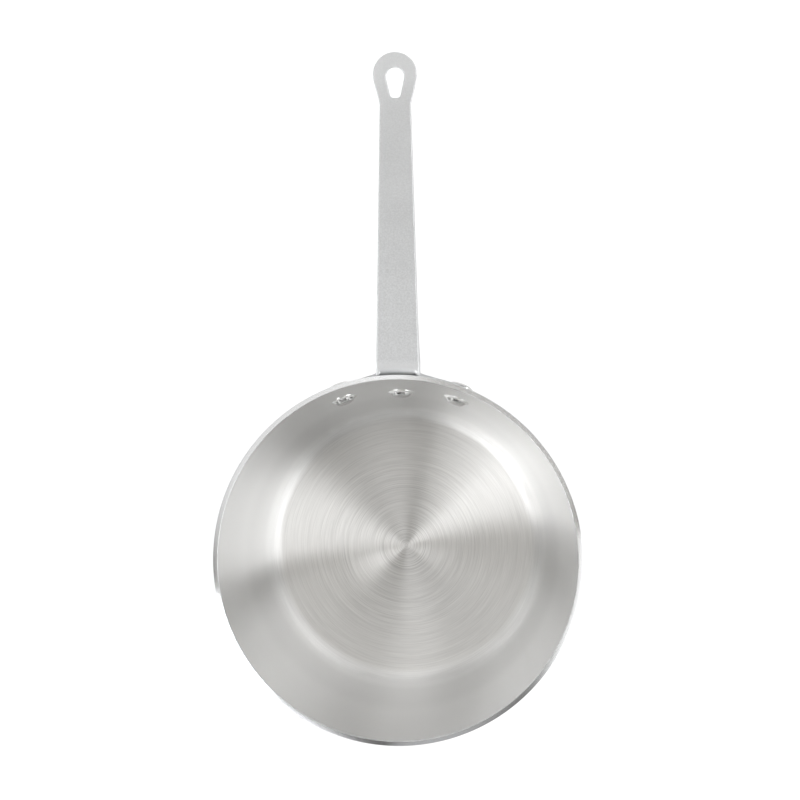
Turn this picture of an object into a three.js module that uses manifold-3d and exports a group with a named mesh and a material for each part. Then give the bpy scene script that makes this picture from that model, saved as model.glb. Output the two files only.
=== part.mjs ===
// Tapered saucepan: a spun one-piece pan body, and a channel-section handle held to it by three rivets.
// Millimetres, +Z up. The origin is the middle of the base's underside, and the handle points along +Y.
import * as THREE from "three";
import { mergeVertices } from "three/addons/utils/BufferGeometryUtils.js";
import Module from "manifold-3d";

const wasm = await Module();
wasm.setup();

// Pan body
const RIM_DIAMETER = 204; // across the outside of the rim
const PAN_HEIGHT = 100; // from the table to the top of the rim
const WALL = 2.6; // side wall, square to its face
const FLOOR = 3; // flat bottom
const TAPER = THREE.MathUtils.degToRad(10); // lean of the side wall from upright
const CORNER_RADIUS = 8; // inside, between floor and side wall
const RIM_EDGE = 0.6; // rounding of the rim's two edges

// Handle
const HANDLE_RISE = THREE.MathUtils.degToRad(12); // slope of the bar above level
const HANDLE_LENGTH = 169.2; // along the bar, from the bend at the rim to the far edge of the eye
const FOOT_WIDTH = 23.6; // bar at the bend
const NECK_WIDTH = 16.6; // bar where the eye begins
const EYE_DIAMETER = 23.5; // round hanging end
const NECK_TO_EYE = 15.4; // from the neck to the middle of the eye
const EYE_THICKNESS = 3.2;
const HOLE_WIDTH = 9.8; // hanging hole, at its round wide end
const HOLE_TAIL_WIDTH = 5.8; // the same, at its flat narrow end
const HOLE_CORNER = 1.6; // rounding of the narrow end's corners
const HOLE_LENGTH = 15.8; // end to end
const HOLE_SETBACK = 1.1; // from the middle of the eye back to the middle of the hole's wide end
const WEB = 3; // top of the channel
const FLANGE = 2.6; // sides of the channel
const ROOT_DEPTH = 18; // channel, top to bottom, at the bracket
const BAR_DEPTH = 9; // the same, past the root
const ROOT_LENGTH = 34; // from the bend to the end of the deep root
const NECK_DEPTH = 5; // channel at the neck
const BEND_RADIUS = 6; // where the bar's top rolls over towards the pan
const BEND_DROP = 5.5; // from the rim down to where that roll begins
const CHEEK = 1.6; // flat strip that runs on to the pan at each side of the roll
const BRACKET = 3.6; // plate on the pan's side
const BRACKET_MARGIN = 2; // plate around each rivet head

// Rivets
const RIVET_ANGLE = THREE.MathUtils.degToRad(19.8); // outer rivets, round the pan from the handle's middle
const SIDE_RIVET_DROP = 27.5; // outer rivets below the rim
const MIDDLE_RIVET_DROP = 35.5; // middle rivet below the rim
const SHANK_DIAMETER = 6.4;
const HEAD_DIAMETER = 14;
const HEAD_EDGE = 1; // thickness of a head at its edge
const HEAD_HEIGHT = 3; // thickness of a head in the middle

// Clearance between neighbouring pieces
const FIT_GAP = 0.3;

// Fineness
const TURNS = 72; // sides of the pan and of what follows it round
const RIVET_SIDES = 24;
const ARC_STEPS = 6; // steps in each rounded corner of a turned profile
const CURVE_STEPS = 10; // steps in each arc of an extruded outline
const MERGE_DISTANCE = 1e-4;
const OVERRUN = 20; // how far cutters and blanks run past what they shape

const aluminium = { metalness: 1 };
const spunFinish = new THREE.MeshStandardMaterial({ ...aluminium, color: 0xc4c2be, roughness: 0.32 });
const mattFinish = new THREE.MeshStandardMaterial({ ...aluminium, color: 0xc8c8c7, roughness: 0.6 });
const polishedFinish = new THREE.MeshStandardMaterial({ ...aluminium, color: 0xd0cfcc, roughness: 0.22 });

const rimRadius = RIM_DIAMETER / 2;
const bracketFace = -(FIT_GAP + BRACKET); // depth of the bracket's outer face, measured into the wall

// Radius of the surface that lies `depth` inside the wall's outer face, at height z.
function wallRadius(depth, z) {
  return rimRadius - depth / Math.cos(TAPER) - (PAN_HEIGHT - z) * Math.tan(TAPER);
}

// Points of an arc in a turned profile, angles from the outward direction towards up.
function arc(radius, z, size, from, to) {
  return Array.from({ length: ARC_STEPS + 1 }, (_, i) => {
    const angle = from + ((to - from) * i) / ARC_STEPS;
    return new THREE.Vector2(radius + size * Math.cos(angle), z + size * Math.sin(angle));
  });
}

// A profile of [radius, height] points turned about the Z axis.
function turned(points, sides) {
  return new THREE.LatheGeometry(points, sides).rotateX(Math.PI / 2);
}

// A closed geometry as a solid that can be joined and cut.
function solidOf(geometry) {
  const bare = geometry.clone();
  bare.deleteAttribute("normal");
  bare.deleteAttribute("uv");
  const merged = mergeVertices(bare, MERGE_DISTANCE);
  const corners = merged.index.array;
  const triangles = [];
  for (let i = 0; i < corners.length; i += 3) {
    const [a, b, c] = corners.slice(i, i + 3);
    if (a !== b && b !== c && c !== a) triangles.push(a, b, c);
  }
  return new wasm.Manifold(
    new wasm.Mesh({
      numProp: 3,
      vertProperties: merged.attributes.position.array,
      triVerts: new Uint32Array(triangles),
    }),
  );
}

// The geometry of a finished solid.
function geometryOf(solid) {
  const { vertProperties, triVerts } = solid.getMesh();
  const geometry = new THREE.BufferGeometry();
  geometry.setAttribute("position", new THREE.BufferAttribute(vertProperties, 3));
  geometry.setIndex(new THREE.BufferAttribute(triVerts, 1));
  geometry.computeVertexNormals();
  return geometry;
}

function mesh(name, geometry, material) {
  const made = new THREE.Mesh(geometry, material);
  made.name = name;
  return made;
}

// Each rivet's place: its turn round the pan from the handle's middle, and its drop below the rim.
const rivets = [
  { name: "rivet_left", turn: -RIVET_ANGLE, drop: SIDE_RIVET_DROP },
  { name: "rivet_middle", turn: 0, drop: MIDDLE_RIVET_DROP },
  { name: "rivet_right", turn: RIVET_ANGLE, drop: SIDE_RIVET_DROP },
];
const headRadius = HEAD_DIAMETER / 2;
const holeRadius = SHANK_DIAMETER / 2 + FIT_GAP;
const rivetTilt = -(Math.PI / 2 + TAPER); // turns a rivet's axis from +Z to square out of the wall

// The point on the wall's inner face where a rivet goes through.
function rivetSeat(drop) {
  const z = PAN_HEIGHT - drop;
  return new THREE.Vector3(0, wallRadius(WALL, z), z);
}

// The clearance hole for a rivet's shank, through wall and bracket.
function rivetHole({ turn, drop }) {
  const seat = rivetSeat(drop);
  const length = 2 * (WALL + FIT_GAP + BRACKET + HEAD_HEIGHT);
  const cutter = new THREE.CylinderGeometry(holeRadius, holeRadius, length, RIVET_SIDES);
  cutter.rotateX(Math.PI / 2).rotateX(rivetTilt).translate(seat.x, seat.y, seat.z).rotateZ(-turn);
  return solidOf(cutter);
}

function panBody() {
  const insideCorner = WALL + CORNER_RADIUS;
  const insideHeight = FLOOR + CORNER_RADIUS;
  const outsideCorner = insideCorner; // both corners share the wall's thickness
  const rimHeight = PAN_HEIGHT - RIM_EDGE;
  const down = -Math.PI / 2;
  const outward = -TAPER;
  const up = Math.PI / 2;
  const inward = Math.PI - TAPER;
  const profile = [
    new THREE.Vector2(0, 0),
    ...arc(wallRadius(outsideCorner, outsideCorner), outsideCorner, outsideCorner, down, outward),
    ...arc(wallRadius(RIM_EDGE, rimHeight), rimHeight, RIM_EDGE, outward, up),
    ...arc(wallRadius(WALL - RIM_EDGE, rimHeight), rimHeight, RIM_EDGE, up, inward),
    ...arc(wallRadius(insideCorner, insideHeight), insideHeight, CORNER_RADIUS, outward, down),
    new THREE.Vector2(0, FLOOR),
  ];
  const shell = solidOf(turned(profile, TURNS));
  return geometryOf(rivets.reduce((body, rivet) => body.subtract(rivetHole(rivet)), shell));
}

// The bend at the handle's foot, in the plane of the pan's axis and the bar: where the roll leaves the pan's side,
// the middle of the roll, and where it runs into the bar's top face.
const bendStart = new THREE.Vector2(
  wallRadius(-FIT_GAP, PAN_HEIGHT - BEND_DROP),
  PAN_HEIGHT - BEND_DROP,
);
const bendMiddle = new THREE.Vector2(Math.cos(TAPER), -Math.sin(TAPER))
  .multiplyScalar(BEND_RADIUS)
  .add(bendStart);
const bendEnd = new THREE.Vector2(-Math.sin(HANDLE_RISE), Math.cos(HANDLE_RISE))
  .multiplyScalar(BEND_RADIUS)
  .add(bendMiddle);

// The bar's own frame starts at the bend's end: along the bar, square to its top face, and across.
const along = new THREE.Vector3(0, Math.cos(HANDLE_RISE), Math.sin(HANDLE_RISE));
const above = new THREE.Vector3(0, -Math.sin(HANDLE_RISE), Math.cos(HANDLE_RISE));
const across = new THREE.Vector3(1, 0, 0);
const barStart = new THREE.Vector3(0, bendEnd.x, bendEnd.y);
const barBack = -(bendEnd.x - bendStart.x + BRACKET + OVERRUN); // blank's start, inside the pan
const eyeAt = HANDLE_LENGTH - EYE_DIAMETER / 2;
const neckAt = eyeAt - NECK_TO_EYE;

function extruded(shape, depth) {
  return new THREE.ExtrudeGeometry(shape, { depth, bevelEnabled: false, curveSegments: CURVE_STEPS });
}

// A side view of the bar, [along, above], given the width of the handle's widest part and more.
function barSideways(shape) {
  const width = EYE_DIAMETER + FOOT_WIDTH;
  const blank = extruded(shape, width).translate(0, 0, -width / 2);
  const turn = new THREE.Matrix4().makeBasis(along, above, across).setPosition(barStart);
  return solidOf(blank.applyMatrix4(turn));
}

// A top view of the bar, [along, across], cut square to the bar's top face through its whole depth.
function barFromAbove(shape) {
  const depth = ROOT_DEPTH + 2 * OVERRUN;
  const blank = extruded(shape, depth).translate(0, 0, OVERRUN - depth);
  const turn = new THREE.Matrix4().makeBasis(along, across.clone().negate(), above).setPosition(barStart);
  return solidOf(blank.applyMatrix4(turn));
}

// The bar seen from above: square foot, straight taper to the neck, round eye.
function barOutline() {
  const foot = FOOT_WIDTH / 2;
  const neck = NECK_WIDTH / 2;
  const eye = EYE_DIAMETER / 2;
  const reach = Math.hypot(NECK_TO_EYE, neck);
  const lean = Math.asin(eye / reach) - Math.atan2(neck, NECK_TO_EYE); // slope of the neck's sides onto the eye
  const touch = Math.PI / 2 + lean; // where they meet it, from the far end
  return new THREE.Shape()
    .moveTo(barBack, -foot)
    .lineTo(0, -foot)
    .lineTo(neckAt, -neck)
    .absarc(eyeAt, 0, eye, -touch, touch, false)
    .lineTo(neckAt, neck)
    .lineTo(0, foot)
    .lineTo(barBack, foot);
}

// The bar seen from the side: deep at the bracket, shallow at the neck, a plain plate at the eye.
function barProfile() {
  const end = HANDLE_LENGTH + OVERRUN;
  return new THREE.Shape()
    .moveTo(barBack, 0)
    .lineTo(end, 0)
    .lineTo(end, -EYE_THICKNESS)
    .lineTo(eyeAt, -EYE_THICKNESS)
    .lineTo(neckAt, -NECK_DEPTH)
    .lineTo(ROOT_LENGTH, -BAR_DEPTH)
    .quadraticCurveTo(ROOT_LENGTH / 2, -BAR_DEPTH, 0, -ROOT_DEPTH)
    .lineTo(barBack, -ROOT_DEPTH);
}

// The hollow under the bar, seen from above, with a round end short of the neck.
function channelOutline() {
  const foot = FOOT_WIDTH / 2 - FLANGE;
  const end = NECK_WIDTH / 2 - FLANGE;
  const endAt = neckAt - NECK_WIDTH;
  return new THREE.Shape()
    .moveTo(barBack, -foot)
    .lineTo(0, -foot)
    .absarc(endAt, 0, end, -Math.PI / 2, Math.PI / 2, false)
    .lineTo(0, foot)
    .lineTo(barBack, foot);
}

function channelProfile() {
  return new THREE.Shape()
    .moveTo(barBack, -WEB)
    .lineTo(HANDLE_LENGTH, -WEB)
    .lineTo(HANDLE_LENGTH, -ROOT_DEPTH - OVERRUN)
    .lineTo(barBack, -ROOT_DEPTH - OVERRUN);
}

// The hanging hole: a round wide end towards the tip, straight sides closing towards the bar, and a flat narrow end.
function hangingHole() {
  const wide = HOLE_WIDTH / 2;
  const tail = HOLE_TAIL_WIDTH / 2;
  const wideAt = eyeAt - HOLE_SETBACK;
  const tailAt = wideAt + wide - HOLE_LENGTH;
  const reach = wideAt - tailAt;
  const corner = Math.atan2(tail, reach) + Math.acos(wide / Math.hypot(reach, tail));
  const touch = Math.PI - corner; // half the round end, from the tip to where a straight side leaves it
  const cornerAlong = tailAt + HOLE_CORNER;
  const cornerAcross = tail - HOLE_CORNER;
  return new THREE.Shape()
    .absarc(wideAt, 0, wide, -touch, touch, false)
    .absarc(cornerAlong, cornerAcross, HOLE_CORNER, touch, Math.PI, false)
    .absarc(cornerAlong, -cornerAcross, HOLE_CORNER, Math.PI, 2 * Math.PI - touch, false);
}

// The bracket seen from in front, [across, up]: a lobe round each rivet, swept up to the top of the bar's foot.
function bracketOutline() {
  const lobe = headRadius + BRACKET_MARGIN;
  const side = rivetSeat(SIDE_RIVET_DROP);
  const sideAcross = side.y * Math.sin(RIVET_ANGLE);
  const middle = rivetSeat(MIDDLE_RIVET_DROP);
  const slope = Math.atan2(side.z - middle.z, sideAcross);
  const under = Math.PI / 2 - slope; // where the straight lower edges meet the lobes, below level
  const foot = FOOT_WIDTH / 2;
  const top = bendStart.y;
  const wingTop = side.z + lobe;
  return new THREE.Shape()
    .moveTo(-foot, top)
    .lineTo(foot, top)
    .quadraticCurveTo(foot, wingTop, sideAcross, wingTop)
    .absarc(sideAcross, side.z, lobe, Math.PI / 2, -under, true)
    .absarc(0, middle.z, lobe, -under, under - Math.PI, true)
    .absarc(-sideAcross, side.z, lobe, under - Math.PI, -1.5 * Math.PI, true)
    .quadraticCurveTo(-foot, wingTop, -foot, top);
}

// A solid cone with its side on the bracket's outer face, from below the bracket to the bar's top.
function bracketCone() {
  const low = PAN_HEIGHT - MIDDLE_RIVET_DROP - HEAD_DIAMETER - BRACKET_MARGIN;
  return solidOf(
    turned(
      [
        new THREE.Vector2(0, low),
        new THREE.Vector2(wallRadius(bracketFace, low), low),
        new THREE.Vector2(wallRadius(bracketFace, bendEnd.y), bendEnd.y),
        new THREE.Vector2(0, bendEnd.y),
      ],
      TURNS,
    ),
  );
}

// What the handle keeps clear of: the pan with its gap, carried on above the rim.
function panClearance() {
  const low = -OVERRUN;
  const high = barStart.z + OVERRUN;
  return solidOf(
    turned(
      [
        new THREE.Vector2(0, low),
        new THREE.Vector2(wallRadius(-FIT_GAP, low), low),
        new THREE.Vector2(wallRadius(-FIT_GAP, high), high),
        new THREE.Vector2(0, high),
      ],
      TURNS,
    ),
  );
}

// What is cut from the bar's foot so that its top rolls over towards the pan, between the two cheeks.
function footRoll() {
  const high = barStart.z + OVERRUN;
  const round = turned(
    [
      new THREE.Vector2(0, bendStart.y),
      ...arc(bendMiddle.x, bendMiddle.y, BEND_RADIUS, Math.PI - TAPER, Math.PI / 2 + HANDLE_RISE),
      new THREE.Vector2(bendEnd.x, high),
      new THREE.Vector2(0, high),
    ],
    TURNS,
  );
  const reach = bendEnd.x + OVERRUN;
  const slot = new THREE.BoxGeometry(FOOT_WIDTH - 2 * CHEEK, reach, 2 * high).translate(0, reach / 2, 0);
  return solidOf(round).intersect(solidOf(slot));
}

function handle() {
  const cone = bracketCone();
  const front = extruded(bracketOutline(), rimRadius + OVERRUN);
  front.rotateX(Math.PI / 2).translate(0, rimRadius + OVERRUN, 0);
  const bracket = cone.intersect(solidOf(front));
  const bar = barSideways(barProfile()).intersect(barFromAbove(barOutline()));
  const channel = barSideways(channelProfile()).intersect(barFromAbove(channelOutline())).subtract(cone);
  const whole = bar.subtract(channel).add(bracket).subtract(panClearance()).subtract(footRoll());
  const holed = whole.subtract(barFromAbove(hangingHole()));
  return geometryOf(rivets.reduce((piece, rivet) => piece.subtract(rivetHole(rivet)), holed));
}

// One side of a domed head, from its edge to its middle, built up from `base` towards +Z or -Z.
function dome(base, way) {
  const rise = HEAD_HEIGHT - HEAD_EDGE;
  const round = Array.from({ length: ARC_STEPS }, (_, i) => {
    const angle = ((Math.PI / 2) * i) / ARC_STEPS;
    return new THREE.Vector2(headRadius * Math.cos(angle), base + way * (HEAD_EDGE + rise * Math.sin(angle)));
  });
  return [new THREE.Vector2(headRadius, base), ...round, new THREE.Vector2(0, base + way * HEAD_HEIGHT)];
}

// A rivet along Z, with the wall's inner face at 0: domed inner head, shank, domed outer head.
function rivetGeometry(seat) {
  const hollow = headRadius ** 2 / (2 * seat.y); // how far the round wall rises towards a flat head's edge
  const inner = -FIT_GAP - hollow;
  const outer = WALL + FIT_GAP + BRACKET + FIT_GAP;
  const shank = SHANK_DIAMETER / 2;
  const profile = [
    ...dome(inner, -1).reverse(),
    new THREE.Vector2(shank, inner),
    new THREE.Vector2(shank, outer),
    ...dome(outer, 1),
  ];
  return turned(profile, RIVET_SIDES);
}

const saucepan = new THREE.Group();
saucepan.add(mesh("pan_body", panBody(), spunFinish));
saucepan.add(mesh("handle", handle(), mattFinish));
for (const { name, turn, drop } of rivets) {
  const seat = rivetSeat(drop);
  const rivet = mesh(name, rivetGeometry(seat), polishedFinish);
  rivet.position.copy(seat);
  rivet.rotation.x = rivetTilt;
  const place = new THREE.Group();
  place.rotation.z = -turn;
  place.add(rivet);
  saucepan.add(place);
}

export default saucepan;
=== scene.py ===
"""A tapered aluminium saucepan: spun body, cast channel handle and the three rivets that join them.

Laid out as an add-on and run as a script. Metres, +Z up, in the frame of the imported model.
"""
import math

import bmesh
import bpy
from mathutils import Matrix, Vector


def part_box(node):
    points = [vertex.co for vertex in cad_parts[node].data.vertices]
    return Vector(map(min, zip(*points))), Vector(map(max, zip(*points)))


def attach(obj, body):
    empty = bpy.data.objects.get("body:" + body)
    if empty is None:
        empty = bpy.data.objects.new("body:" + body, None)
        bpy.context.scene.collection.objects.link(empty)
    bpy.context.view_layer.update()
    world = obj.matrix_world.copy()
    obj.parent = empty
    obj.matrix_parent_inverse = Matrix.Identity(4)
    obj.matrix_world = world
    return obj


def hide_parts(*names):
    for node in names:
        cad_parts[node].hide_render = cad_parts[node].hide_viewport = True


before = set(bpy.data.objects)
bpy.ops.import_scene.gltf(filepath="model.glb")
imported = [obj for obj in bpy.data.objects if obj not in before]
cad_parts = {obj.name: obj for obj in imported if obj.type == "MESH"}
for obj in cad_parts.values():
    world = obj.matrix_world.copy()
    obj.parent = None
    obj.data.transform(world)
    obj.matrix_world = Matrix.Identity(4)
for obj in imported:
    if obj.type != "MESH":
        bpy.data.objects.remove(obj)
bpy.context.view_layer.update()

bl_info = {
    "name": "Tapered Saucepan",
    "version": (1, 0, 0),
    "blender": (4, 5, 0),
    "location": "3D View > Sidebar > Saucepan",
    "description": "Builds a spun aluminium saucepan with a riveted cast handle",
    "category": "Add Mesh",
}

MM = 0.001
NUMBER = "NodeSocketFloat"
PAINTED_SHEEN = "painted_sheen"
PAN_NODE = "pan_body"
HANDLE_NODE = "handle"
RIVET_NODES = ("rivet_left", "rivet_middle", "rivet_right")
PAN_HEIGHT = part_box(PAN_NODE)[1].z / MM

PAN_TURNS = 192
PAN_CORNER_STEPS = 12
RIVET_TURNS = 64
RIVET_CORNER_STEPS = 8
SEAM = 0.002 * MM
BLANK_SEAM = 0.005 * MM

LENS = 67.5
SENSOR_WIDTH = 36
CAMERA_PLACE = (50.3 * MM, 78.7 * MM, 923.1 * MM)
CAMERA_TURN = (0.66, 3.39, 0.22)
FLOOR_REACH = 40.0
FLOOR_DROP = 0.2 * MM
PAPER_SHARE = 0.75
PAPER_GLOW = 1.16


def length(name, description, millimetres):
    """A size that a user may change."""
    return bpy.props.FloatProperty(
        name=name, description=description, default=millimetres * MM, min=0, precision=4, unit="LENGTH"
    )


def angle(name, description, degrees):
    """A slope or turn that a user may change."""
    return bpy.props.FloatProperty(
        name=name,
        description=description,
        default=math.radians(degrees),
        subtype="ANGLE",
        unit="ROTATION",
    )


def colour(name, description, value):
    """A colour that a user may change."""
    return bpy.props.FloatVectorProperty(
        name=name, description=description, default=value, size=3, min=0, max=1, subtype="COLOR"
    )


def share(name, description, value, highest=1.0):
    """A plain amount that a user may change."""
    return bpy.props.FloatProperty(
        name=name, description=description, default=value, min=0, max=highest, subtype="FACTOR"
    )


class PanSettings(bpy.types.PropertyGroup):
    """Sizes and finish of the spun body."""

    rim_radius: length("Rim Radius", "Axis to the outside of the rim", 102)
    height: length("Height", "Table to the top of the rim", PAN_HEIGHT)
    wall: length("Wall", "Thickness of the side wall", 2.6)
    floor: length("Floor", "Thickness of the flat bottom", 3)
    taper: angle("Taper", "Lean of the side wall from upright", 10)
    corner: length("Corner", "Inside rounding between floor and wall", 8)
    rim_edge: length("Rim Edge", "Rounding of the rim's two edges", 0.15)
    ring_spacing: length("Ring Spacing", "Longest step of the mesh along the profile", 3)
    tint: colour("Tint", "Reflected colour of the spun metal", (0.9, 0.9, 0.895))
    rim_tint: colour("Rim Tint", "Reflected colour of the cut rim", (0.88, 0.893, 0.913))


class HandleSettings(bpy.types.PropertyGroup):
    """Finish of the cast handle."""

    voxel: length("Voxel", "Fineness of the cast surface", 0.45)
    tint: colour("Tint", "Reflected colour of the cast metal", (0.69, 0.7, 0.71))


class RivetSettings(bpy.types.PropertyGroup):
    """Sizes, places and finish of the rivets."""

    turn: angle("Turn", "Side rivets, round the pan from the handle's middle", 19.8)
    side_drop: length("Side Drop", "Side rivets below the rim", 27.5)
    middle_drop: length("Middle Drop", "Middle rivet below the rim", 35.5)
    head_radius: length("Head Radius", "Axis to the edge of a head", 7.4)
    head_height: length("Head Height", "Thickness of a head in the middle", 3.0)
    seat: length("Seat", "Depth that a head beds into what it holds", 0.3)
    shank_radius: length("Shank Radius", "Axis to the side of the shank", 3.2)
    grip: length("Grip", "Wall and bracket between the two heads", 6.5)
    tint: colour("Tint", "Reflected colour of the polished metal", (0.92, 0.92, 0.91))


class StageSettings(bpy.types.PropertyGroup):
    """Floor and light."""

    paper: colour("Paper", "Colour of the floor", (0.9, 0.9, 0.9))
    ceiling: colour("Ceiling", "Colour of the room above the lamps", (1.0, 0.965, 0.905))
    room: share("Room", "Brightness of the room's walls", 0.05, 4)


class Value:
    """A number inside a node tree. Arithmetic on it adds Math nodes."""

    def __init__(self, tree, socket):
        self.tree = tree
        self.socket = socket

    def math(self, operation, *others):
        node = self.tree.nodes.new("ShaderNodeMath")
        node.operation = operation
        for socket, value in zip(node.inputs, (self, *others)):
            connect(self.tree, value, socket)
        return Value(self.tree, node.outputs[0])

    def __add__(self, other):
        return self.math("ADD", other)

    def __sub__(self, other):
        return self.math("SUBTRACT", other)

    def __mul__(self, other):
        return self.math("MULTIPLY", other)

    def __truediv__(self, other):
        return self.math("DIVIDE", other)

    def __neg__(self):
        return self.math("MULTIPLY", -1.0)

    def between(self, low, high, to_low=0.0, to_high=1.0):
        """Runs smoothly from to_low to to_high as this goes from low to high."""
        node = self.tree.nodes.new("ShaderNodeMapRange")
        node.interpolation_type = "SMOOTHSTEP"
        for socket, value in zip(node.inputs, (self, low, high, to_low, to_high)):
            connect(self.tree, value, socket)
        return Value(self.tree, node.outputs["Result"])


def connect(tree, value, socket):
    """Links a node's output to a socket, or writes a plain value there."""
    if isinstance(value, Value):
        value = value.socket
    if isinstance(value, bpy.types.NodeSocket):
        tree.links.new(value, socket)
    else:
        socket.default_value = value


def add_node(tree, kind, inputs=None, **settings):
    """A new node with its settings, and its inputs by name or number."""
    node = tree.nodes.new(kind)
    for key, value in settings.items():
        setattr(node, key, value)
    for key, value in (inputs or {}).items():
        connect(tree, value, node.inputs[key])
    return node


def new_group(name, kind, inputs, outputs):
    """A node group with named sockets. Returns it, its inputs by name and its output node."""
    tree = bpy.data.node_groups.new(name, kind)
    for label, socket_type, default in inputs:
        socket = tree.interface.new_socket(label, in_out="INPUT", socket_type=socket_type)
        if default is not None:
            socket.default_value = default
    for label, socket_type in outputs:
        tree.interface.new_socket(label, in_out="OUTPUT", socket_type=socket_type)
    entry = tree.nodes.new("NodeGroupInput")
    values = {label: Value(tree, entry.outputs[label]) for label, _, _ in inputs}
    return tree, values, tree.nodes.new("NodeGroupOutput")


def combine(tree, x=0.0, y=0.0, z=0.0):
    """A vector of three numbers."""
    return add_node(tree, "ShaderNodeCombineXYZ", {0: x, 1: y, 2: z}).outputs[0]


def split(tree, vector):
    """The three numbers of a vector."""
    parts = add_node(tree, "ShaderNodeSeparateXYZ", {0: vector}).outputs
    return [Value(tree, part) for part in parts]


def from_axis(x, y):
    """The distance from the Z axis."""
    return (x * x + y * y).math("SQRT")


# Geometry Nodes


def pick(tree, kind, choices):
    """The choice whose number is the point's own index."""
    node = add_node(tree, "GeometryNodeIndexSwitch", data_type=kind)
    while len(node.index_switch_items) < len(choices):
        node.index_switch_items.new()
    connect(tree, add_node(tree, "GeometryNodeInputIndex").outputs[0], node.inputs[0])
    for number, choice in enumerate(choices):
        connect(tree, choice, node.inputs[number + 1])
    return node.outputs[0]


def profile_curve(tree, corners, steps, spacing):
    """A line through corners of radius, height and rounding, with its long stretches divided."""
    line = add_node(tree, "GeometryNodeCurvePrimitiveLine").outputs[0]
    points = add_node(
        tree, "GeometryNodeResampleCurve", {"Curve": line, "Count": len(corners)}, mode="COUNT"
    )
    places = [combine(tree, radius, height) for radius, height, _ in corners]
    placed = add_node(
        tree,
        "GeometryNodeSetPosition",
        {"Geometry": points.outputs[0], "Position": pick(tree, "VECTOR", places)},
    )
    rounded = add_node(
        tree,
        "GeometryNodeFilletCurve",
        {
            "Curve": placed.outputs[0],
            "Count": steps,
            "Radius": pick(tree, "FLOAT", [rounding for _, _, rounding in corners]),
            "Limit Radius": True,
        },
        mode="POLY",
    )
    here = add_node(tree, "GeometryNodeInputPosition").outputs[0]
    index = Value(tree, add_node(tree, "GeometryNodeInputIndex").outputs[0])
    following = add_node(
        tree,
        "GeometryNodeFieldAtIndex",
        {"Value": here, "Index": index + 1.0},
        data_type="FLOAT_VECTOR",
    )
    gap = add_node(
        tree, "ShaderNodeVectorMath", {0: here, 1: following.outputs[0]}, operation="DISTANCE"
    )
    cuts = Value(tree, gap.outputs["Value"]) / spacing
    divided = add_node(tree, "GeometryNodeSubdivideCurve", {"Curve": rounded.outputs[0], "Cuts": cuts})
    return divided.outputs[0]


def turned_solid(tree, profile, turns):
    """The profile turned about the Z axis: radius is its X and height its Y."""
    ring = add_node(
        tree,
        "GeometryNodeCurvePrimitiveCircle",
        {"Resolution": turns, "Radius": MM},
        mode="RADIUS",
    )
    level = add_node(tree, "GeometryNodeSetCurveNormal", {"Curve": ring.outputs[0]}, mode="Z_UP")
    moved = add_node(
        tree,
        "GeometryNodeTransform",
        {"Geometry": profile, "Translation": (-MM, 0, 0), "Scale": (1, -1, 1)},
    )
    swept = add_node(
        tree, "GeometryNodeCurveToMesh", {"Curve": level.outputs[0], "Profile Curve": moved.outputs[0]}
    )
    closed = add_node(
        tree, "GeometryNodeMergeByDistance", {"Geometry": swept.outputs[0], "Distance": SEAM}
    )
    return add_node(tree, "GeometryNodeSetShadeSmooth", {"Geometry": closed.outputs[0]}).outputs[0]


def finish_tree(tree, output, geometry, material):
    """Ends a tree in real geometry with its material."""
    real = add_node(tree, "GeometryNodeRealizeInstances", {"Geometry": geometry})
    dressed = add_node(
        tree, "GeometryNodeSetMaterial", {"Geometry": real.outputs[0], "Material": material}
    )
    tree.links.new(dressed.outputs[0], output.inputs[0])


def new_shape_tree(name, sizes):
    """A geometry tree with one number input for each size."""
    inputs = [(size, NUMBER, None) for size in sizes]
    return new_group(name, "GeometryNodeTree", inputs, [("Geometry", "NodeSocketGeometry")])


def grown(name, tree, sizes):
    """A plain mesh piece made by a geometry tree with the given sizes."""
    mesh = bpy.data.meshes.new(name)
    piece = bpy.data.objects.new(name, mesh)
    bpy.context.scene.collection.objects.link(piece)
    modifier = piece.modifiers.new(name, "NODES")
    modifier.node_group = tree
    for item in tree.interface.items_tree:
        if item.item_type == "SOCKET" and item.in_out == "INPUT":
            modifier[item.identifier] = sizes[item.name]
    return baked(piece)


def baked(piece):
    """The piece with its modifiers turned into plain mesh."""
    evaluated = piece.evaluated_get(bpy.context.evaluated_depsgraph_get())
    mesh = bpy.data.meshes.new_from_object(evaluated)
    piece.modifiers.clear()
    piece.data = mesh
    mesh.name = piece.name
    return piece


def pan_tree(material):
    """The spun body: one profile from the middle of the base, over the rim, to the middle of the floor.

    The rim is cut square to the wall, so its outer edge lies a little lower than its inner one.
    """
    sizes = ("Rim Radius", "Height", "Wall", "Floor", "Taper", "Corner", "Rim Edge", "Ring Spacing")
    tree, size, output = new_shape_tree("Spun body", sizes)
    slope = size["Taper"].math("TANGENT")
    thickness = size["Wall"] / size["Taper"].math("COSINE")
    rim = size["Rim Radius"]
    inner_rim = rim - thickness
    rim_fall = size["Wall"] * size["Taper"].math("SINE")
    corners = [
        (0.0, 0.0, 0.0),
        (rim - size["Height"] * slope, 0.0, size["Corner"] + size["Wall"]),
        (rim - rim_fall * slope, size["Height"] - rim_fall, size["Rim Edge"]),
        (inner_rim, size["Height"], size["Rim Edge"]),
        (inner_rim - (size["Height"] - size["Floor"]) * slope, size["Floor"], size["Corner"]),
        (0.0, size["Floor"], 0.0),
    ]
    profile = profile_curve(tree, corners, PAN_CORNER_STEPS, size["Ring Spacing"])
    finish_tree(tree, output, turned_solid(tree, profile, PAN_TURNS), material)
    return tree


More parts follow.
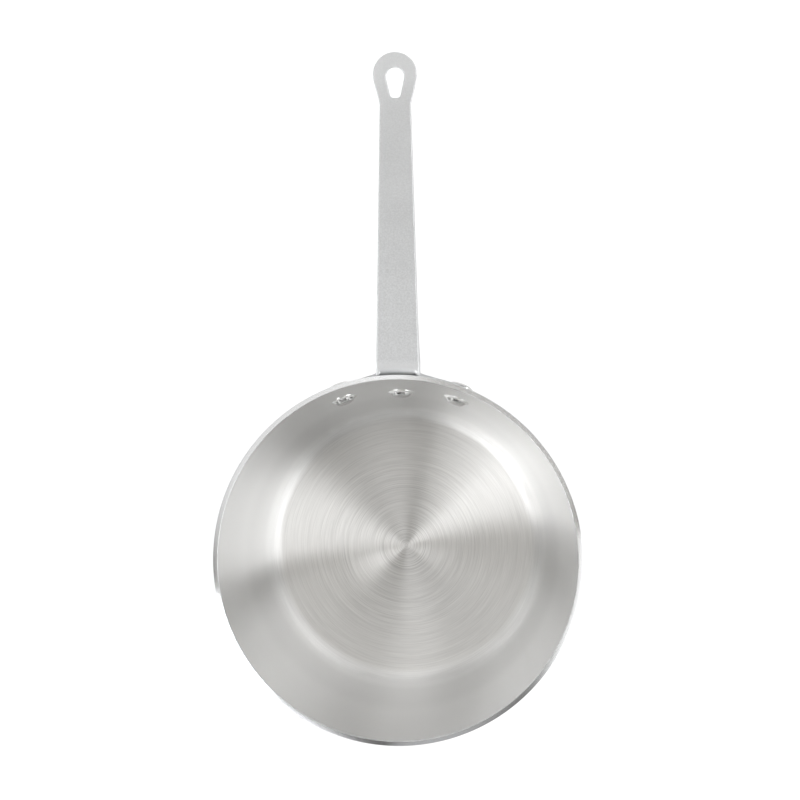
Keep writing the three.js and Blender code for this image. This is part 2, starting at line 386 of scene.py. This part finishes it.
# A rivet's head from edge to crown: shares of its radius and height, and rounding as a share of its radius
FULL_DOME = ((1.0, 0.3, 0.07), (0.64, 0.88, 0.75), (0.32, 1.0, 0.4))
BRIMMED_DOME = ((1.0, 0.16, 0.03), (0.8, 0.36, 0.14), (0.58, 0.94, 0.3), (0.25, 1.0, 0.3))


def rivet_head(size, base, way, shape):
    """Profile corners of a head from its edge, which beds into the metal, to its crown."""
    radius = size["Head Radius"]
    height = size["Head Height"] * way
    corners = [(radius, size["Seat"] * -way + base, 0.0)]
    for out, up, bend in shape:
        corners.append((radius * out, height * up + base, radius * bend))
    corners.append((0.0, height + base, 0.0))
    return corners


def with_painted_sheen(tree, rivet, size):
    """The rivet with the parts for its painted highlight marked: the inner head's edge and the outer head's
    crown; the rest gets painted shade in its material.
    """
    x, y, z = split(tree, add_node(tree, "GeometryNodeInputPosition").outputs[0])
    radius = size["Head Radius"]
    edge = from_axis(x, y).between(radius * 0.74, radius * 0.84)
    outside = z.between(size["Grip"] * 0.4, size["Grip"] * 0.6)
    # Painted light: 1 marks a painted highlight, 0 marks painted shade.
    marks = edge + outside - edge * outside * 2.0
    marked = add_node(
        tree,
        "GeometryNodeStoreNamedAttribute",
        {"Geometry": rivet, "Name": PAINTED_SHEEN, "Value": marks},
        data_type="FLOAT",
        domain="POINT",
    )
    return marked.outputs[0]


def rivet_tree(material):
    """Three rivets through the wall, each square to it."""
    sizes = ("Turn", "Side Drop", "Middle Drop", "Head Radius", "Head Height", "Seat")
    sizes += ("Shank Radius", "Grip", "Rim Radius", "Height", "Wall", "Taper")
    tree, size, output = new_shape_tree("Rivets", sizes)
    inner = rivet_head(size, 0.0, -1.0, BRIMMED_DOME)
    outer = rivet_head(size, size["Grip"], 1.0, FULL_DOME)
    shank = [(size["Shank Radius"], corner[1], 0.0) for corner in (inner[0], outer[0])]
    corners = [*reversed(inner), *shank, *outer]
    profile = profile_curve(tree, corners, RIVET_CORNER_STEPS, size["Head Radius"] * 0.1)
    rivet = with_painted_sheen(tree, turned_solid(tree, profile, RIVET_TURNS), size)
    middle = pick(tree, "FLOAT", [0.0, 1.0, 0.0])
    step = pick(tree, "FLOAT", [-1.0, 0.0, 1.0])
    drop = size["Side Drop"] + (size["Middle Drop"] - size["Side Drop"]) * middle
    turn = size["Turn"] * step
    inner_rim = size["Rim Radius"] - size["Wall"] / size["Taper"].math("COSINE")
    reach = inner_rim - drop * size["Taper"].math("TANGENT")
    seat = combine(tree, reach * turn.math("SINE"), reach * turn.math("COSINE"), size["Height"] - drop)
    seats = add_node(tree, "GeometryNodePoints", {"Count": len(RIVET_NODES), "Position": seat})
    lean = -(size["Taper"] + math.pi / 2)
    facing = add_node(tree, "FunctionNodeEulerToRotation", {0: combine(tree, lean, 0.0, -turn)})
    placed = add_node(
        tree,
        "GeometryNodeInstanceOnPoints",
        {"Points": seats.outputs[0], "Instance": rivet, "Rotation": facing.outputs[0]},
    )
    finish_tree(tree, output, placed.outputs[0], material)
    return tree


# Materials


def new_material(name):
    """A metal with its node tree, its shader and the place on the piece."""
    material = bpy.data.materials.new(name)
    material.use_nodes = True
    tree = material.node_tree
    shader = tree.nodes["Principled BSDF"]
    shader.inputs["Metallic"].default_value = 1.0
    place = add_node(tree, "ShaderNodeTexCoord").outputs["Object"]
    return material, tree, shader, place


def noise(tree, place, scale, detail=2.0, roughness=0.5):
    """Soft random values about a half, with cells of the given number to a metre."""
    node = add_node(
        tree,
        "ShaderNodeTexNoise",
        {"Vector": place, "Scale": scale, "Detail": detail, "Roughness": roughness},
    )
    return Value(tree, node.outputs["Fac"])


def mixed(tree, amount, first, second):
    """A colour between two."""
    node = add_node(tree, "ShaderNodeMix", data_type="RGBA")
    connect(tree, amount, node.inputs["Factor"])
    for label, value in (("A", first), ("B", second)):
        socket = [s for s in node.inputs if s.name == label and s.type == "RGBA"][0]
        connect(tree, value, socket)
    return [s for s in node.outputs if s.type == "RGBA"][0]


def shade(tint, amount):
    """The tint made lighter or darker."""
    return (*(min(1.0, part * amount) for part in tint), 1.0)


def turned_rings():
    """Shader group: the fine circular grooves that a spinning tool leaves, as tones about a half."""
    tree, value, output = new_group(
        "Turned rings",
        "ShaderNodeTree",
        [
            ("Place", "NodeSocketVector", None),
            ("Fine", NUMBER, 1900.0),
            ("Coarse", NUMBER, 700.0),
            ("Arcs", NUMBER, 40.0),
        ],
        [("Fine Tone", NUMBER), ("Coarse Tone", NUMBER)],
    )
    x, y, z = split(tree, value["Place"])
    along = from_axis(x, y) + z
    for label in ("Fine", "Coarse"):
        ringed = combine(tree, x * value["Arcs"], y * value["Arcs"], along * value[label])
        tone = noise(tree, ringed, 1.0, 3.0, 0.6)
        tree.links.new(tone.socket, output.inputs[label + " Tone"])
    return tree


def metal_grain():
    """Shader group: a fine sandy speckle, as a tone about a half, and broader cloudy patches."""
    tree, value, output = new_group(
        "Metal grain",
        "ShaderNodeTree",
        [("Place", "NodeSocketVector", None), ("Grain", NUMBER, 1500.0), ("Cloud", NUMBER, 60.0)],
        [("Grain Tone", NUMBER), ("Cloud Tone", NUMBER)],
    )
    for label in ("Grain", "Cloud"):
        tone = noise(tree, value["Place"].socket, value[label], 2.0, 0.6)
        tree.links.new(tone.socket, output.inputs[label + " Tone"])
    return tree


def place_group(tree, group, inputs):
    """A shader group placed in a material. Returns its outputs as values by name."""
    node = add_node(tree, "ShaderNodeGroup")
    node.node_tree = group
    for key, value in inputs.items():
        connect(tree, value, node.inputs[key])
    return {socket.name: Value(tree, socket) for socket in node.outputs}


def dress(tree, shader, base, roughness, strength, depth, relief):
    """Feeds a metal's colour, roughness and fine relief to its shader."""
    bump = add_node(
        tree, "ShaderNodeBump", {"Strength": strength, "Distance": depth, "Height": relief}
    )
    connect(tree, base, shader.inputs["Base Color"])
    connect(tree, roughness, shader.inputs["Roughness"])
    connect(tree, bump.outputs[0], shader.inputs["Normal"])


def spun_aluminium(pan, rings, grain):
    """Bright metal turned on a lathe: grooves run round the axis, so highlights spread along the radius."""
    material, tree, shader, place = new_material("Spun aluminium")
    x, y, z = split(tree, place)
    radius = from_axis(x, y)
    ring = place_group(tree, rings, {"Place": place, "Fine": 1900.0, "Coarse": 700.0, "Arcs": 38.0})
    skin = place_group(tree, grain, {"Place": place, "Grain": 900.0, "Cloud": 25.0})
    slope = math.tan(pan.taper)
    foot = pan.rim_radius - pan.height * slope
    on_outside = (radius - z * slope).between(foot - 2 * MM, foot - 0.7 * MM)
    inside = -on_outside + 1.0
    on_floor = z.between(4 * MM, 12 * MM, 1.0, 0.0)
    on_rim = z.between(pan.height - 0.9 * MM, pan.height - 0.4 * MM)
    in_corner = z.between(3.1 * MM, 4.5 * MM) * z.between(7 * MM, 14 * MM, 1.0, 0.0)
    # Painted shade: the inner wall from about 12 to 60 mm up is darkened a little through its tone.
    painted_low_wall_shade = z.between(12 * MM, 22 * MM) * z.between(40 * MM, 60 * MM, 1.0, 0.0) * inside
    turned = on_floor.math("MAXIMUM", on_outside)
    deeper_middle = radius.between(8 * MM, 20 * MM, 2.9, 1.05)
    fainter_edge = radius.between(38 * MM, 66 * MM, 1.0, 0.55)
    grooves = ring["Fine Tone"] * 0.75 + ring["Coarse Tone"] * 0.25 - 0.5
    tone = grooves * (deeper_middle * fainter_edge * turned) + 0.5
    bright = (tone - painted_low_wall_shade * 0.07).between(0.25, 0.75)
    spun = mixed(tree, bright, shade(pan.tint, 0.84), shade(pan.tint, 1.1))
    # Painted shade: the outer wall is darkened towards half the tint.
    painted_shade_outside = mixed(tree, on_outside * 0.45, spun, shade(pan.tint, 0.5))
    base = mixed(tree, on_rim, painted_shade_outside, shade(pan.rim_tint, 1.0))
    roughness = z.between(4 * MM, 22 * MM, 0.35, 0.28) + in_corner * 0.04 - on_rim * 0.09
    roughness = roughness + skin["Cloud Tone"] * 0.03
    roughness = roughness + (ring["Coarse Tone"] - 0.5) * turned * 0.03
    dress(tree, shader, base, roughness, 0.3, 0.05 * MM, tone)
    shader.inputs["Anisotropic"].default_value = 1.0
    round_about = combine(tree, -y, x, 0.0)
    facing = add_node(tree, "ShaderNodeNewGeometry").outputs["Normal"]
    across = add_node(
        tree, "ShaderNodeVectorMath", {0: facing, 1: round_about}, operation="CROSS_PRODUCT"
    )
    connect(tree, across.outputs[0], shader.inputs["Tangent"])
    return material


def cast_aluminium(tint, grain):
    """Matt metal as it comes tumbled from the mould: a fine sandy skin, coarser towards the pan.

    The bend beside the pan is lightened with a painted highlight, the hanging eye is paler, and the bracket
    is darker than the bar, with painted shade.
    """
    material, tree, shader, place = new_material("Cast aluminium")
    _, y, z = split(tree, place)
    coarser = y.between(110 * MM, 230 * MM, 1.0, 0.45)
    # Painted highlight: the bend beside the pan is lightened, and its roughness is also a little lower.
    painted_bend_highlight = y.between(106.5 * MM, 111 * MM, 1.0, 0.0)
    paler_root = y.between(112 * MM, 190 * MM, 0.13, 0.0)
    # Paler towards the hanging eye.
    paler_eye = y.between(236 * MM, 262 * MM)
    # Painted shade: the bracket below the rim is darkened.
    bracket_painted_shade = z.between(88 * MM, 97 * MM, 1.0, 0.0)
    skin = place_group(tree, grain, {"Place": place, "Grain": 1100.0, "Cloud": 45.0})
    sand = (skin["Grain Tone"] - 0.5) * coarser + 0.5
    tone = sand * 0.8 + skin["Cloud Tone"] * 0.2
    matt = mixed(tree, tone.between(0.25, 0.75), shade(tint, 0.86), shade(tint, 1.1))
    # Painted highlight at the bend, with the paler eye and root, all mixed towards a lighter tint.
    highlight_and_paler = painted_bend_highlight * 0.6 + paler_eye * 0.35 + paler_root
    lightened_matt = mixed(tree, highlight_and_paler, matt, shade(tint, 1.3))
    base = mixed(tree, bracket_painted_shade * 0.75, lightened_matt, shade(tint, 0.62))
    roughness = sand * 0.2 + 0.42 - painted_bend_highlight * 0.08
    dress(tree, shader, base, roughness, 0.35, 0.12 * MM, sand)
    return material


def polished_rivet(tint, grain):
    """Bright upset metal with the small dents of the set, lightened with a painted highlight where it is
    marked and darkened with painted shade elsewhere.
    """
    material, tree, shader, place = new_material("Polished rivet")
    skin = place_group(tree, grain, {"Place": place, "Grain": 1400.0, "Cloud": 420.0})
    marks = add_node(tree, "ShaderNodeAttribute", attribute_name=PAINTED_SHEEN).outputs["Fac"]
    bright = Value(tree, marks) + (skin["Grain Tone"] - 0.5) * 0.4
    # Painted highlight on the marked parts, painted shade on the rest of each head.
    base = mixed(tree, bright, shade(tint, 0.68), shade(tint, 1.08))
    roughness = skin["Cloud Tone"] * 0.12 + 0.08
    dress(tree, shader, base, roughness, 0.7, 0.4 * MM, skin["Cloud Tone"])
    return material


# Stage


def softbox(tree, heading, height, bearing, sides, softness, foot, top, fade):
    """How much of a view lies in a softbox about a bearing, all in degrees.

    Sides are its two edges, counted from the bearing, and softness is how softly each of them ends. Foot and
    top are elevations, and fade is how softly both of them end.
    """
    turn = math.radians(bearing)
    ahead = (math.cos(turn), math.sin(turn), 0)
    beside = (-math.sin(turn), math.cos(turn), 0)
    parts = []
    for aim in (beside, ahead):
        node = add_node(tree, "ShaderNodeVectorMath", {0: heading, 1: aim}, operation="DOT_PRODUCT")
        parts.append(Value(tree, node.outputs["Value"]))
    off = parts[0].math("ARCTAN2", parts[1]).math("DEGREES")
    first = off.between(sides[0] - softness[0], sides[0] + softness[0])
    last = off.between(sides[1] - softness[1], sides[1] + softness[1], 1.0, 0.0)
    above = height.between(foot - fade, foot + fade)
    below = height.between(top - fade, top + fade, 1.0, 0.0)
    return first * last * above * below


def studio_lamps(tree, heading, height):
    """The light of all softboxes: two strong lamps left and right, and weaker ones that fill in."""

    def lamp(strength, **box):
        return softbox(tree, heading, height, **box) * strength

    left = lamp(5.1, bearing=225, sides=(-18, 24), softness=(16, 14), foot=31, top=47.5, fade=2)
    strip = lamp(11.8, bearing=200, sides=(-3, 3), softness=(1, 1), foot=22, top=31.5, fade=2)
    top_edge = lamp(5.8, bearing=219, sides=(-19.5, 8.5), softness=(2, 6), foot=51, top=59, fade=2)
    right = lamp(4.0, bearing=345, sides=(-28.5, 17), softness=(14, 1), foot=22, top=53, fade=10)
    fill = lamp(3.9, bearing=50, sides=(-37.5, 60), softness=(1, 18), foot=34.5, top=43.5, fade=2.7)
    far_fill = lamp(0.7, bearing=135, sides=(-42, 30), softness=(14, 8), foot=34.5, top=43.5, fade=2.7)
    rim_light = lamp(0.75, bearing=190, sides=(-8, 9), softness=(3, 3), foot=56.5, top=61.5, fade=1.5)
    side = lamp(0.69, bearing=150, sides=(-60, 34), softness=(11, 8), foot=48, top=76, fade=3)
    window = lamp(0.4, bearing=276, sides=(-12.5, 16), softness=(1, 18), foot=5, top=74, fade=4.5)
    return left + strip + top_edge + right + fill + far_fill + rim_light + side + window


def studio_world(stage):
    """A dim room of softboxes with a dark side, a slightly warm ceiling and white paper up to the horizon."""
    world = bpy.data.worlds.new("Studio")
    bpy.context.scene.world = world
    world.use_nodes = True
    tree = world.node_tree
    heading = add_node(tree, "ShaderNodeTexCoord").outputs["Generated"]
    height = split(tree, heading)[2].math("ARCSINE").math("DEGREES")
    dark_side = softbox(
        tree, heading, height, bearing=285, sides=(-60, 20), softness=(12, 12), foot=-90, top=85, fade=5
    )
    lit_side = -dark_side * 0.84 + 1.0
    horizon = height.between(12, 26, 0.77, 0.0) * lit_side
    paper_edge = height.between(2, 4, 1.0, 0.0)
    lamps = studio_lamps(tree, heading, height) + horizon.math("MAXIMUM", paper_edge)
    overhead = height.between(60, 72, 0.0, 0.7) * lit_side
    lit = add_node(tree, "ShaderNodeBackground", {"Color": (1, 1, 1, 1), "Strength": lamps})
    warm = {"Color": (*stage.ceiling, 1), "Strength": overhead + stage.room}
    glow = add_node(tree, "ShaderNodeBackground", warm)
    both = add_node(tree, "ShaderNodeAddShader", {0: lit.outputs[0], 1: glow.outputs[0]})
    tree.nodes.remove(tree.nodes["Background"])
    tree.links.new(both.outputs[0], tree.nodes["World Output"].inputs["Surface"])


def paper_floor(stage):
    """A wide pale floor that keeps the pan's shadow."""
    mesh = bpy.data.meshes.new("studio_floor")
    sheet = bmesh.new()
    bmesh.ops.create_grid(sheet, x_segments=1, y_segments=1, size=FLOOR_REACH)
    sheet.to_mesh(mesh)
    sheet.free()
    mesh.transform(Matrix.Translation((0, 0, -FLOOR_DROP)))
    floor = bpy.data.objects.new("studio_floor", mesh)
    bpy.context.scene.collection.objects.link(floor)
    material = bpy.data.materials.new("Studio paper")
    material.use_nodes = True
    tree = material.node_tree
    tree.nodes.remove(tree.nodes["Principled BSDF"])
    matt = add_node(tree, "ShaderNodeBsdfDiffuse", {"Color": (*stage.paper, 1)})
    rays = add_node(tree, "ShaderNodeLightPath").outputs
    seen = Value(tree, rays["Is Camera Ray"]).math("MAXIMUM", rays["Is Glossy Ray"])
    seen = seen.math("MAXIMUM", rays["Is Transmission Ray"])
    white = add_node(tree, "ShaderNodeEmission", {"Strength": PAPER_GLOW})
    pale = add_node(
        tree,
        "ShaderNodeMixShader",
        {0: seen * PAPER_SHARE, 1: matt.outputs[0], 2: white.outputs[0]},
    )
    tree.links.new(pale.outputs[0], tree.nodes["Material Output"].inputs["Surface"])
    mesh.materials.append(material)


def camera():
    """A view from above, handle up."""
    data = bpy.data.cameras.new("Camera")
    data.lens = LENS
    data.sensor_width = SENSOR_WIDTH
    seen_from = bpy.data.objects.new("Camera", data)
    seen_from.location = CAMERA_PLACE
    seen_from.rotation_euler = tuple(math.radians(turn) for turn in CAMERA_TURN)
    bpy.context.scene.collection.objects.link(seen_from)
    bpy.context.scene.camera = seen_from


def sizes_of(*groups):
    """The lengths and angles of some settings, by the names that the shape trees give them."""
    sizes = {}
    for group in groups:
        for kept in group.bl_rna.properties:
            if kept.type == "FLOAT" and not kept.is_array:
                sizes[kept.name] = getattr(group, kept.identifier)
    return sizes


def settle(piece, slot, *nodes):
    """Sets a finished piece in place of its nodes."""
    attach(piece, "root")
    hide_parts(*nodes)


class SAUCEPAN_OT_stage(bpy.types.Operator):
    """Sets the camera, the floor and the light"""

    bl_idname = "saucepan.stage"
    bl_label = "Stage"

    def execute(self, context):
        context.scene.view_settings.view_transform = "Standard"
        camera()
        studio_world(context.scene.saucepan_stage)
        paper_floor(context.scene.saucepan_stage)
        return {"FINISHED"}


class SAUCEPAN_OT_pan_body(bpy.types.Operator):
    """Spins the pan body from its profile"""

    bl_idname = "saucepan.pan_body"
    bl_label = "Pan Body"

    def execute(self, context):
        pan = context.scene.saucepan_pan
        material = spun_aluminium(pan, turned_rings(), metal_grain())
        piece = grown("spun_pan_body", pan_tree(material), sizes_of(pan))
        settle(piece, "spun_aluminium", PAN_NODE)
        return {"FINISHED"}


class SAUCEPAN_OT_handle(bpy.types.Operator):
    """Casts the handle over its solid, with a fine sandy skin"""

    bl_idname = "saucepan.handle"
    bl_label = "Handle"

    def execute(self, context):
        handle = context.scene.saucepan_handle
        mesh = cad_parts[HANDLE_NODE].data.copy()
        blank = bmesh.new()
        blank.from_mesh(mesh)
        bmesh.ops.remove_doubles(blank, verts=blank.verts, dist=BLANK_SEAM)
        blank.to_mesh(mesh)
        blank.free()
        piece = bpy.data.objects.new("cast_handle", mesh)
        context.scene.collection.objects.link(piece)
        skin = piece.modifiers.new("Skin", "REMESH")
        skin.mode = "VOXEL"
        skin.voxel_size = handle.voxel
        skin.use_smooth_shade = True
        baked(piece)
        material = cast_aluminium(handle.tint, bpy.data.node_groups["Metal grain"])
        piece.data.materials.clear()
        piece.data.materials.append(material)
        settle(piece, "handle_casting", HANDLE_NODE)
        return {"FINISHED"}


class SAUCEPAN_OT_rivets(bpy.types.Operator):
    """Sets the three rivets through the wall and the handle's bracket"""

    bl_idname = "saucepan.rivets"
    bl_label = "Rivets"

    def execute(self, context):
        pan = context.scene.saucepan_pan
        rivet = context.scene.saucepan_rivets
        material = polished_rivet(rivet.tint, bpy.data.node_groups["Metal grain"])
        piece = grown("rivets", rivet_tree(material), sizes_of(pan, rivet))
        settle(piece, "rivet_metal", *RIVET_NODES)
        return {"FINISHED"}


SETTINGS = {
    "saucepan_pan": PanSettings,
    "saucepan_handle": HandleSettings,
    "saucepan_rivets": RivetSettings,
    "saucepan_stage": StageSettings,
}
OPERATORS = (SAUCEPAN_OT_stage, SAUCEPAN_OT_pan_body, SAUCEPAN_OT_handle, SAUCEPAN_OT_rivets)


class SAUCEPAN_PT_sidebar(bpy.types.Panel):
    """Lists the pieces and their settings"""

    bl_idname = "SAUCEPAN_PT_sidebar"
    bl_label = "Saucepan"
    bl_space_type = "VIEW_3D"
    bl_region_type = "UI"
    bl_category = "Saucepan"

    def draw(self, context):
        for operator in OPERATORS:
            self.layout.operator(operator.bl_idname)
        for name in SETTINGS:
            settings = getattr(context.scene, name)
            box = self.layout.box()
            for key in settings.bl_rna.properties.keys():
                if key not in ("rna_type", "name"):
                    box.prop(settings, key)


CLASSES = (*SETTINGS.values(), *OPERATORS, SAUCEPAN_PT_sidebar)


def register():
    for made in CLASSES:
        bpy.utils.register_class(made)
    for name, group in SETTINGS.items():
        setattr(bpy.types.Scene, name, bpy.props.PointerProperty(type=group))


def unregister():
    for name in SETTINGS:
        delattr(bpy.types.Scene, name)
    for made in reversed(CLASSES):
        bpy.utils.unregister_class(made)


def main():
    """Builds the whole saucepan."""
    register()
    bpy.ops.saucepan.stage()
    bpy.ops.saucepan.pan_body()
    bpy.ops.saucepan.handle()
    bpy.ops.saucepan.rivets()


if __name__ == "__main__":
    main()
